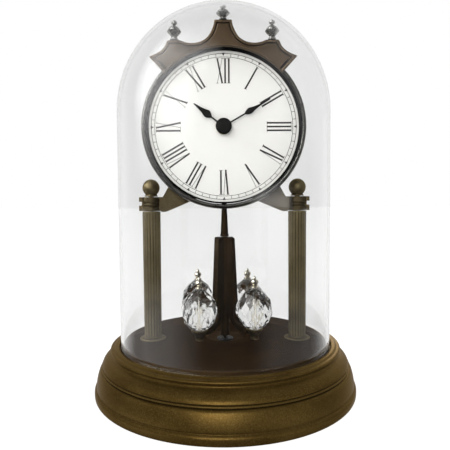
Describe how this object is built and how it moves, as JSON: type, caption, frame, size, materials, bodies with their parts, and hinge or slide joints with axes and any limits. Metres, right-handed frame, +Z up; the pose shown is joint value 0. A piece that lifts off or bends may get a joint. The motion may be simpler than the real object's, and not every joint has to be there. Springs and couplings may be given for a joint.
{
  "type": "anniversary clock",
  "caption": "Battery anniversary clock: round dial with scrolled crest on two fluted columns, turning crystal pendulum, stepped round base and lift-off glass dome.",
  "frame": {"origin": "centre of the base on the surface it stands on", "axes": "+Z up, the dial faces -Y, +X is to the right of a person looking at the dial"},
  "size_m": [0.152, 0.152, 0.2218],
  "materials": {
    "bronze": "satin antique bronze lacquer",
    "bronze_dark": "satin dark bronze lacquer",
    "plastic_black": "black, fine grain",
    "rubber": "matt black",
    "black": "black, satin to glossy",
    "glass": "clear",
    "gunmetal": "semi-gloss gunmetal bronze",
    "dial_white": "matt off-white print ground",
    "crest_bronze": "satin brown bronze lacquer",
    "steel": "plain zinc plated",
    "pewter": "dull pewter grey",
    "board": "green board",
    "copper": "enamelled copper winding",
    "brass": "plain",
    "plastic_white": "natural white",
    "cell_wrap": "plain wrap, no print",
    "silver": "polished pale metal",
    "crystal": "clear, cut in facets"
  },
  "bodies": {
    "clock_frame": {"base_shell": "bronze", "top_plate": "bronze_dark", "bottom_cover": "plastic_black", "foot_pad_1": "rubber", "foot_pad_2": "rubber", "foot_pad_3": "rubber", "guide_cup": "black", "bezel_ring": "gunmetal", "bezel_liner": "black", "dial_plate": "dial_white", "case_drum": "plastic_black", "crest_panel": "crest_bronze", "crest_strap": "steel", "finial_left": "pewter", "finial_centre": "pewter", "finial_right": "pewter", "movement_case": "plastic_black", "circuit_board": "board", "coil": "copper", "movement_cover": "plastic_black", "contact_plus": "silver", "contact_minus": "silver", "hand_nut": "brass", "column_left": "bronze", "foot_flange_left": "bronze", "tie_rod_left": "steel", "rod_nut_left": "steel", "ball_finial_left": "bronze", "bracket_left": "bronze", "case_screw_left": "steel", "column_right": "bronze", "foot_flange_right": "bronze", "tie_rod_right": "steel", "rod_nut_right": "steel", "ball_finial_right": "bronze", "bracket_right": "bronze", "case_screw_right": "steel"},
    "dome": {"glass_dome": "glass"},
    "minute_train": {"minute_arbor": "brass", "minute_hand": "black", "hand_cap": "black"},
    "hour_train": {"hour_wheel": "plastic_white", "hour_hand": "black"},
    "setting_train": {"idler_wheel": "plastic_white", "set_knob": "plastic_black"},
    "battery": {"battery_cell": "cell_wrap"},
    "pendulum": {"pendulum_stem": "bronze_dark", "pendulum_body": "bronze_dark", "cup_1": "bronze_dark", "crystal_1": "crystal", "crystal_cap_1": "silver", "cup_2": "bronze_dark", "crystal_2": "crystal", "crystal_cap_2": "silver", "cup_3": "bronze_dark", "crystal_3": "crystal", "crystal_cap_3": "silver", "cup_4": "bronze_dark", "crystal_4": "crystal", "crystal_cap_4": "silver"}
  },
  "joints": [
    {"name": "dome_lift", "type": "slide", "parent": "clock_frame", "child": "dome", "axis": [0, 0, 1], "range_m": [0, 0.205]},
    {"name": "minute_turn", "type": "hinge", "parent": "clock_frame", "child": "minute_train", "pos_m": [0, -0.017, 0.151], "axis": [0, 1, 0], "continuous": true},
    {"name": "hour_turn", "type": "hinge", "parent": "clock_frame", "child": "hour_train", "pos_m": [0, -0.017, 0.151], "axis": [0, 1, 0], "continuous": true},
    {"name": "setting_turn", "type": "hinge", "parent": "clock_frame", "child": "setting_train", "pos_m": [0, -0.017, 0.1414], "axis": [0, 1, 0], "continuous": true},
    {"name": "pendulum_turn", "type": "hinge", "parent": "clock_frame", "child": "pendulum", "pos_m": [0, -0.006, 0.089], "axis": [0, 0, 1], "range_deg": [-150, 150]},
    {"name": "battery_slide", "type": "slide", "parent": "clock_frame", "child": "battery", "axis": [0, 1, 0], "range_m": [0, 0.03]}
  ],
  "couplings": [
    {"joint": "hour_turn", "follows": "minute_turn", "ratio": 0.083333},
    {"joint": "setting_turn", "follows": "minute_turn", "ratio": -0.33333}
  ]
}
